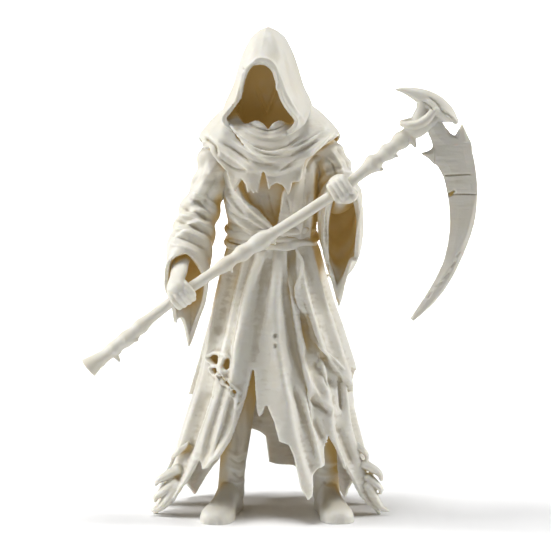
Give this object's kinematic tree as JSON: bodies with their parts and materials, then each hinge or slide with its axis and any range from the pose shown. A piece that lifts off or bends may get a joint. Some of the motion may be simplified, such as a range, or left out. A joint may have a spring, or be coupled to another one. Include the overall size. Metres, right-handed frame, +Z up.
{
  "type": "grim reaper figurine",
  "caption": "Standing hooded grim reaper statuette in a torn robe, holding a long curved scythe across its body with both hands; a display ornament.",
  "frame": {"origin": "centre of the footprint's bounding box, on the plane of the soles", "axes": "+Z up, -Y the way the figure faces, +X towards the figure's left hand and the scythe's blade"},
  "size_m": [0.1198, 0.049, 0.15],
  "materials": {
    "resin": "satin ivory cast resin, unpainted"
  },
  "bodies": {
    "root": {"grim_reaper": "resin"}
  },
  "joints": []
}
